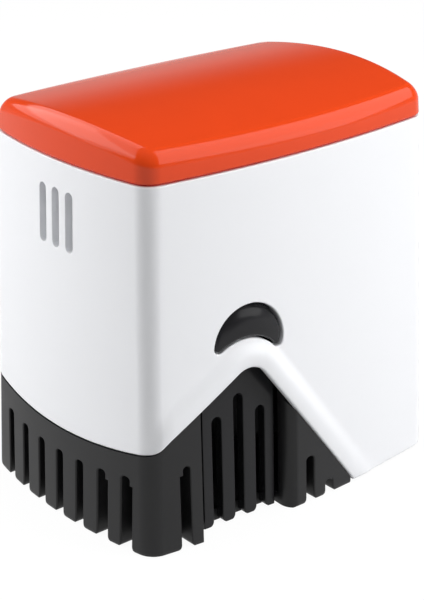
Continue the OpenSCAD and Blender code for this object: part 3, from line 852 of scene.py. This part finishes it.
def inlet_pad():
    """Flat round pad that the cable gland seats on."""
    face = frame_size("cable_gland", 1, 0) - GLAND_COLLAR_T
    profile = [(INLET_PAD_R, face - INLET_PAD_T), (INLET_PAD_R, face - INLET_EDGE)]
    profile.append((INLET_PAD_R - INLET_EDGE, face))
    return drum(profile, on_inlet)


def inlet_hole():
    r = GLAND_BARREL_R + JOINT_GAP
    return drum([(r, BODY_L / 2 - INLET_REACH), (r, BODY_L / 2 + INLET_REACH)], on_inlet)


def make_housing():
    obj = make_object("housing_shell", loft(housing_rings()))
    join(obj, [baffle(), inlet_pad()])
    window = flared(crescent, on_latch_wall, WALL + OVER)
    vents = [flared(stadium, on_front(y), WALL + OVER, VENT_RIM) for y in row(VENT_COUNT, VENT_PITCH)]
    stem_r = STEM_R + JOINT_GAP
    stem_hole = drum([(stem_r, DECK_LOW - OVER), (stem_r, DECK_TOP + OVER)], upright(STEM_X, 0), ROD_N)
    cut(obj, [window, mirrored(window), stem_hole, inlet_hole()] + vents)
    finish_piece(obj, "switch_body", "housing", "housing_plastic")


# Cap

def crown(y):
    """Fall of the crowned top away from the middle."""
    return CAP_CROWN * (2 * y / BODY_W) ** 2


def cap_rings():
    """Rings from the ceiling inside, round the spigot and the outer face, to the middle of the top."""
    columns = EVEN_COLUMNS
    bottom = SEAM_Z + SEAM_GAP
    shoulder = BODY_H - CAP_EDGE_R

    def crowned(ring, height):
        """A ring at a height over the middle, lowered with the crown."""
        return [(x, y, height - crown(y)) for x, y, _ in ring]

    hollow = wall_ring(columns, SEAM_Z, CAP_IN)
    rings = [crowned(shrunk(hollow, share), BODY_H - CAP_T) for share in spread(CROWN_MIDDLE, 1, 10)]
    rings.append(wall_ring(columns, SEAM_Z - SPIGOT_H, CAP_IN))
    rings += [wall_ring(columns, z, TONGUE_IN) for z in (SEAM_Z - SPIGOT_H, bottom)]
    rings += [wall_ring(columns, bottom + RIM_R * (1 - math.cos(a)), RIM_R * (1 - math.sin(a)))
              for a in spread(0, math.pi / 2, 4)]
    for a in spread(0, math.pi / 2, 14):
        rise = CAP_EDGE_R * math.sin(a) ** EDGE_POWER
        inset = CAP_EDGE_R * (1 - math.cos(a) ** EDGE_POWER)
        rings.append(crowned(wall_ring(columns, shoulder, inset), shoulder + rise))
    rim = wall_ring(columns, shoulder, CAP_EDGE_R)
    rings += [crowned(shrunk(rim, share), BODY_H) for share in spread(1, CROWN_MIDDLE, 24)[1:]]
    return rings


def make_cap():
    obj = make_object("cap_shell", loft(cap_rings()))
    finish_piece(obj, "switch_body", "top_cap", "cap_plastic")


# Strainer base

def base_rings():
    """Rings from the floor's underside, up the comb wall and its tongue, to the floor's top."""
    columns = EDGE_COLUMNS
    lows = [low_point(c) for c in columns]
    # The comb wall's face lies flush with the housing, and behind the skirt where that reaches the floor
    faces = [0.0 if low > SKIRT_GAP + SKIRT_TOL else TONGUE_IN for low in lows]

    def ring(height, depth):
        points = []
        for c, low, face in zip(columns, lows, faces):
            z = height(low)
            points.append((*column_at(c, z, depth(face)), z))
        return points

    def top(low):
        return max(low - JOINT_GAP, LEAST_WALL_H)

    def tongue(low):
        return max(low + TONGUE_H, RIM_H)

    def wall(low, share):
        """Height that goes from the foot's rounding to the wall's top as the share goes from 0 to 1."""
        if top(low) > 2 * FOOT_R:
            return FOOT_R + (top(low) - FOOT_R) * share
        return top(low) * (1 + share) / 2

    rings = [shrunk(wall_ring(columns, 0, BASE_IN), FLOOR_RING)]
    for a in spread(0, math.pi / 2, 3):
        rise = 1 - math.cos(a)
        run = FOOT_RUN * (1 - math.sin(a))
        rings.append(ring(lambda low: min(FOOT_R, top(low) / 2) * rise,
                          lambda face: run if face == 0 else face))
    for share in spread(0, 1, 8)[1:]:
        rings.append(ring(lambda low: wall(low, share), lambda face: face))
    rings.append(ring(top, lambda face: TONGUE_IN))
    rings.append(ring(tongue, lambda face: TONGUE_IN))
    rings.append(ring(tongue, lambda face: BASE_IN))
    floor_top = wall_ring(columns, FLOOR_T, BASE_IN)
    return rings + [floor_top, shrunk(floor_top, FLOOR_RING)]


def recess():
    """Room for a latch arm, with rounded outer corners, the front one tighter."""
    back = ARM_INSET + ARM_T + JOINT_GAP
    plan = [(-RECESS_FRONT, -OVER), (-RECESS_FRONT, 0)]
    plan += arc(-RECESS_FRONT, FRONT_RETURN_R, FRONT_RETURN_R, -math.pi / 2, 0, 6)
    plan += [(FRONT_RETURN_R - RECESS_FRONT, back), (RECESS_REAR - REAR_RETURN_R, back)]
    plan += arc(RECESS_REAR, REAR_RETURN_R, REAR_RETURN_R, math.pi, 1.5 * math.pi, 10)
    plan += [(RECESS_REAR, -OVER)]
    return loft([[on_latch(u, v, depth) for u, depth in plan] for v in (-OVER, PEAK_Z + TONGUE_H + OVER)])


def side_slots():
    front, rear = LATCH_X - SIDE_FIRST, LATCH_X + SIDE_FIRST
    wing = comb_slot(WING_SLOT_W, slot_top(front), wider=-1)
    slots = [flared(wing, on_side(front + WING_SHIFT), SLOT_DEPTH)]
    for x in (rear, rear + SIDE_PITCH):
        slots.append(flared(comb_slot(SLOT_W, slot_top(x)), on_side(x), SLOT_DEPTH, SLOT_RIM))
    return slots


def end_slots():
    slots = []
    for i, place in enumerate(row(END_SLOTS, END_PITCH)):
        y = place + END_SHIFT
        shape = comb_slot(SLOT_W, front_edge(y) - END_DROP, wider=-1 if i < END_STEPPED else 0)
        slots.append(flared(shape, on_front(y), SLOT_DEPTH, SLOT_RIM))
    return slots


def mount_holes():
    profile = [(MOUNT_R, -OVER), (MOUNT_R, FLOOR_T + OVER)]
    return [drum(profile, upright(x, y), ROD_N) for x in (-MOUNT_X, MOUNT_X) for y in (-MOUNT_Y, MOUNT_Y)]


def stem_socket():
    """Collar on the floor that holds the stem's foot."""
    inner, low, high = STEM_R + SOCKET_FIT, FLOOR_T - SEAT, FLOOR_T + SOCKET_H
    profile = [(inner, low), (SOCKET_R, low), (SOCKET_R, high - EDGE_R)]
    profile += [(SOCKET_R - EDGE_R, high), (inner, high)]
    return turned(profile, upright(STEM_X, 0))


def make_base():
    obj = make_object("strainer_shell", loft(base_rings()))
    near = [recess()] + side_slots()
    cut(obj, near + [mirrored(s) for s in near] + end_slots() + mount_holes())
    join(obj, [stem_socket()])
    finish_piece(obj, "switch_body", "strainer_base", "base_plastic")


# Latch arms

def arm_plate():
    """Upright plate with a round head and rounded edges."""
    def shape(offset):
        half = ARM_W / 2 + offset
        head = CRESCENT_R - HEAD_IN + offset
        foot = ARM_LIFT - offset
        return ([(half, foot), (half, CRESCENT_Z)] + arc(0, CRESCENT_Z, head, 0, math.pi, 32)
                + [(-half, CRESCENT_Z), (-half, foot)])

    front, back = ARM_INSET, ARM_INSET + ARM_T
    levels = [(-RIM_R, front), (-RIM_R / 4, front + RIM_R / 4), (0, front + RIM_R),
              (0, back - RIM_R), (-RIM_R / 4, back - RIM_R / 4), (-RIM_R, back)]
    return loft([[on_latch(u, v, depth) for u, v in shape(offset)] for offset, depth in levels])


def button():
    """Crescent key with a domed face that rolls back towards its upper edge, and a rounded rim."""
    rim = BUTTON_RIM
    dome_v = CRESCENT_Z + CRESCENT_R / 4
    brow = CRESCENT_R - BUTTON_GAP - rim - BROW_W

    def face(u, v):
        reach = math.hypot(u, v - CRESCENT_Z)
        past_brow = max(0.0, reach - brow) * max(0.0, v - CRESCENT_Z) / max(reach, brow)
        dome = DOME_R - math.sqrt(DOME_R ** 2 - u * u - (v - dome_v) ** 2)
        return dome - BUTTON_PROUD + past_brow ** 2 / (2 * BROW_R)

    def ring(inset, sink):
        return [on_latch(u, v, face(u, v) + sink) for u, v in crescent(-BUTTON_GAP - inset)]

    rings = [[on_latch(u, v, ARM_INSET + ARM_T / 2) for u, v in crescent(-BUTTON_GAP)]]
    rings += [ring(rim * (1 - math.cos(a)), rim * (1 - math.sin(a))) for a in spread(0, math.pi / 2, 6)]
    rings += [ring(inset, 0) for inset in spread(rim, FACE_INSET, 12)[1:]]
    return loft(rings)


def bead():
    """Round foot that an arm turns on, with its facets off the arm's own faces."""
    back = ARM_INSET + ARM_T
    half = ARM_W / 2 - RIM_R

    def place(u, v, along):
        return on_latch(along, BEAD_Z + u, back + v)

    return drum([(BEAD_R, -half), (BEAD_R, half)], place, BEAD_N, start=math.pi / BEAD_N)


def arm_slots():
    slots = []
    for shift in row(ARM_SLOTS, SIDE_PITCH):
        shape = comb_slot(ARM_SLOT_W, slot_top(LATCH_X + shift), ARM_LIFT, shoulder=ARM_SLOT_W / 2)
        slots.append(flared(shape, on_arm(shift), ARM_T + BEAD_R + SEAT))
    return slots


def make_latch(name, body, node, far):
    side = mirrored if far else (lambda solid: solid)
    obj = make_object(name, side(arm_plate()))
    join(obj, [side(bead())])
    cut(obj, [side(slot) for slot in arm_slots()])
    join(obj, [side(button())])
    finish_piece(obj, body, node, "latch_plastic")


# Cable inlet

def make_gland():
    low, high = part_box("cable_gland")
    x0, x1 = low.x / MM, high.x / MM
    collar_r = (high.y - low.y) / 2 / MM
    profile = [(GLAND_BORE_R, x0), (GLAND_BARREL_R, x0)]
    profile += [(GLAND_BARREL_R, x1 - GLAND_COLLAR_T), (collar_r, x1 - GLAND_COLLAR_T)]
    profile += [(collar_r - EDGE_R * (1 - math.cos(a)), x1 - EDGE_R * (1 - math.sin(a)))
                for a in spread(0, math.pi / 2, 4)]
    profile += [(GLAND_BORE_R + INLET_EDGE, x1), (GLAND_BORE_R, x1 - INLET_EDGE)]
    obj = make_object("inlet_gland", turned(profile, on_inlet))
    finish_piece(obj, "switch_body", "cable_gland", "gland_plastic")


def make_seal():
    x0, x1 = frame_size("cable_seal", 0, 0), frame_size("cable_seal", 1, 0)
    profile = [(SEAL_BORE_R, x0), (SEAL_R, x0), (SEAL_R, x1 - RIM_R), (SEAL_R - RIM_R, x1)]
    profile += [(SEAL_BORE_R + RIM_R, x1), (SEAL_BORE_R, x1 - RIM_R)]
    obj = make_object("inlet_seal", turned(profile, on_inlet))
    finish_piece(obj, "switch_body", "cable_seal", "seal_rubber")


make_housing()
make_cap()
make_base()
make_latch("near_latch_key", "near_latch", "latch_arm_near", False)
make_latch("far_latch_key", "far_latch", "latch_arm_far", True)
make_gland()
make_seal()


# Studio, in metres and degrees

FLOOR_HALF = 4.0
FLOOR_SHADE = 0.5
FLOOR_ROUGHNESS = 0.9
# Share of the floor's own look that gives way to white for the camera, and how white that is
FLOOR_GLOW = 0.86
FLOOR_WHITE = 1.1
FLOOR_MIRRORED = 0.72
AMBIENT = 0.11
# Mirrored surroundings: a pale backdrop that fades into a dim room between two sines of elevation
BACKDROP_GLOW = 0.38
ROOM_GLOW = 0.04
BACKDROP_LOW, BACKDROP_HIGH = 0.05, 0.32
LAMP_TARGET = Vector((0, 0, 0.05))
# Camera of the photograph
CAMERA_AZIMUTH = -39.92
CAMERA_ELEVATION = 22.85
CAMERA_ROLL = -0.16
CAMERA_DISTANCE = 0.4418
CAMERA_TARGET = Vector((0, 0, 0.04394))
CAMERA_LENS_MM = 103.3
CAMERA_SENSOR_MM = 36


def by_ray(nodes, links, shader, mirrored_light, seen_light, seen_share=1.0):
    """A shader that gives way to one light for mirrored rays and to another for camera rays."""
    path = nodes.new("ShaderNodeLightPath")
    mirrored_rays = nodes.new("ShaderNodeMath")
    mirrored_rays.operation = "MAXIMUM"
    links.new(path.outputs["Is Glossy Ray"], mirrored_rays.inputs[0])
    links.new(path.outputs["Is Transmission Ray"], mirrored_rays.inputs[1])
    camera_rays = nodes.new("ShaderNodeMath")
    camera_rays.operation = "MULTIPLY"
    camera_rays.inputs[1].default_value = seen_share
    links.new(path.outputs["Is Camera Ray"], camera_rays.inputs[0])
    for share, light in ((mirrored_rays, mirrored_light), (camera_rays, seen_light)):
        mix = nodes.new("ShaderNodeMixShader")
        links.new(share.outputs["Value"], mix.inputs["Fac"])
        links.new(shader, mix.inputs[1])
        links.new(light, mix.inputs[2])
        shader = mix.outputs["Shader"]
    return shader


def glow(nodes, kind, strength):
    """White emission of a strength, from a floor or a background."""
    node = nodes.new(kind)
    node.inputs["Color"].default_value = (1, 1, 1, 1)
    node.inputs["Strength"].default_value = strength
    return node


def make_floor():
    mesh = bpy.data.meshes.new("studio_floor")
    half = FLOOR_HALF
    corners = [(-half, -half, 0), (half, -half, 0), (half, half, 0), (-half, half, 0)]
    mesh.from_pydata(corners, [], [(0, 1, 2, 3)])
    floor = bpy.data.objects.new("studio_floor", mesh)
    bpy.context.scene.collection.objects.link(floor)
    material, nodes, links, shader = new_material("studio_floor")
    shader.inputs["Base Color"].default_value = (FLOOR_SHADE, FLOOR_SHADE, FLOOR_SHADE, 1)
    shader.inputs["Roughness"].default_value = FLOOR_ROUGHNESS
    shader.inputs["Specular IOR Level"].default_value = 0.0
    mirrored_light = glow(nodes, "ShaderNodeEmission", FLOOR_MIRRORED).outputs["Emission"]
    seen_light = glow(nodes, "ShaderNodeEmission", FLOOR_WHITE).outputs["Emission"]
    links.new(by_ray(nodes, links, shader.outputs["BSDF"], mirrored_light, seen_light, FLOOR_GLOW),
              nodes["Material Output"].inputs["Surface"])
    mesh.materials.append(material)


def make_world():
    world = bpy.data.worlds.new("studio")
    bpy.context.scene.world = world
    world.use_nodes = True
    nodes, links = world.node_tree.nodes, world.node_tree.links
    ambient = nodes["Background"]
    ambient.inputs["Color"].default_value = (1, 1, 1, 1)
    ambient.inputs["Strength"].default_value = AMBIENT
    white = glow(nodes, "ShaderNodeBackground", 1.0)
    room = glow(nodes, "ShaderNodeBackground", ROOM_GLOW)
    place = nodes.new("ShaderNodeTexCoord")
    split = nodes.new("ShaderNodeSeparateXYZ")
    links.new(place.outputs["Generated"], split.inputs["Vector"])
    backdrop = nodes.new("ShaderNodeMapRange")
    backdrop.interpolation_type = "SMOOTHSTEP"
    backdrop.inputs["From Min"].default_value = BACKDROP_LOW
    backdrop.inputs["From Max"].default_value = BACKDROP_HIGH
    backdrop.inputs["To Min"].default_value = BACKDROP_GLOW
    backdrop.inputs["To Max"].default_value = ROOM_GLOW
    links.new(split.outputs["Z"], backdrop.inputs["Value"])
    links.new(backdrop.outputs["Result"], room.inputs["Strength"])
    shader = by_ray(nodes, links, ambient.outputs["Background"], room.outputs["Background"],
                    white.outputs["Background"])
    links.new(shader, nodes["World Output"].inputs["Surface"])


def turned_towards(direction, axis, degrees):
    """Rotation that points an axis along a direction, then turns about it."""
    turn = Matrix.Rotation(math.radians(degrees), 3, "Z").to_quaternion()
    return direction.to_track_quat(axis, "Y") @ turn


def softbox(name, direction, distance, size, power, turn=0, mirrored_too=True, matte_too=True):
    """Rectangular lamp that faces the object's middle, turned about its own axis."""
    lamp = bpy.data.lights.new(name, "AREA")
    lamp.shape = "RECTANGLE"
    lamp.size, lamp.size_y = size
    lamp.energy = power
    obj = bpy.data.objects.new(name, lamp)
    towards = Vector(direction).normalized()
    obj.location = LAMP_TARGET + towards * distance
    obj.rotation_mode = "QUATERNION"
    obj.rotation_quaternion = turned_towards(towards, "Z", turn)
    obj.visible_camera = False
    obj.visible_glossy = mirrored_too
    obj.visible_diffuse = matte_too
    bpy.context.scene.collection.objects.link(obj)


def make_lamps():
    """Three lamps that only light, one that also shows mirrored and two that only show mirrored."""
    softbox("right_box", (0.61, -0.77, 0.18), distance=0.75, size=(0.55, 0.55), power=3.9, mirrored_too=False)
    softbox("left_box", (-0.66, 0.63, 0.15), distance=0.75, size=(0.55, 0.6), power=6.2, mirrored_too=False)
    softbox("key_box", (0.03, -0.06, 1.00), distance=0.8, size=(0.9, 0.9), power=5.3, mirrored_too=False)
    softbox("edge_box", (0.59, -0.50, 0.64), distance=0.8, size=(0.8, 0.6), power=2.3, turn=45)
    softbox("far_box", (-0.24, 0.66, 0.70), distance=0.8, size=(1.1, 0.6), power=2.9, turn=-14,
            matte_too=False)
    softbox("lens_box", (-0.46, 0.70, 0.55), distance=0.8, size=(0.9, 0.55), power=2.1, turn=-14,
            matte_too=False)


def make_camera():
    azimuth, elevation = math.radians(CAMERA_AZIMUTH), math.radians(CAMERA_ELEVATION)
    back = Vector((math.sin(azimuth) * math.cos(elevation), -math.cos(azimuth) * math.cos(elevation),
                   math.sin(elevation)))
    camera = bpy.data.objects.new("camera", bpy.data.cameras.new("camera"))
    camera.data.lens = CAMERA_LENS_MM
    camera.data.sensor_width = CAMERA_SENSOR_MM
    camera.location = CAMERA_TARGET + back * CAMERA_DISTANCE
    camera.rotation_mode = "QUATERNION"
    camera.rotation_quaternion = turned_towards(-back, "-Z", CAMERA_ROLL)
    bpy.context.scene.collection.objects.link(camera)
    bpy.context.scene.camera = camera


make_floor()
make_world()
make_lamps()
make_camera()
bpy.context.scene.view_settings.view_transform = "Standard"
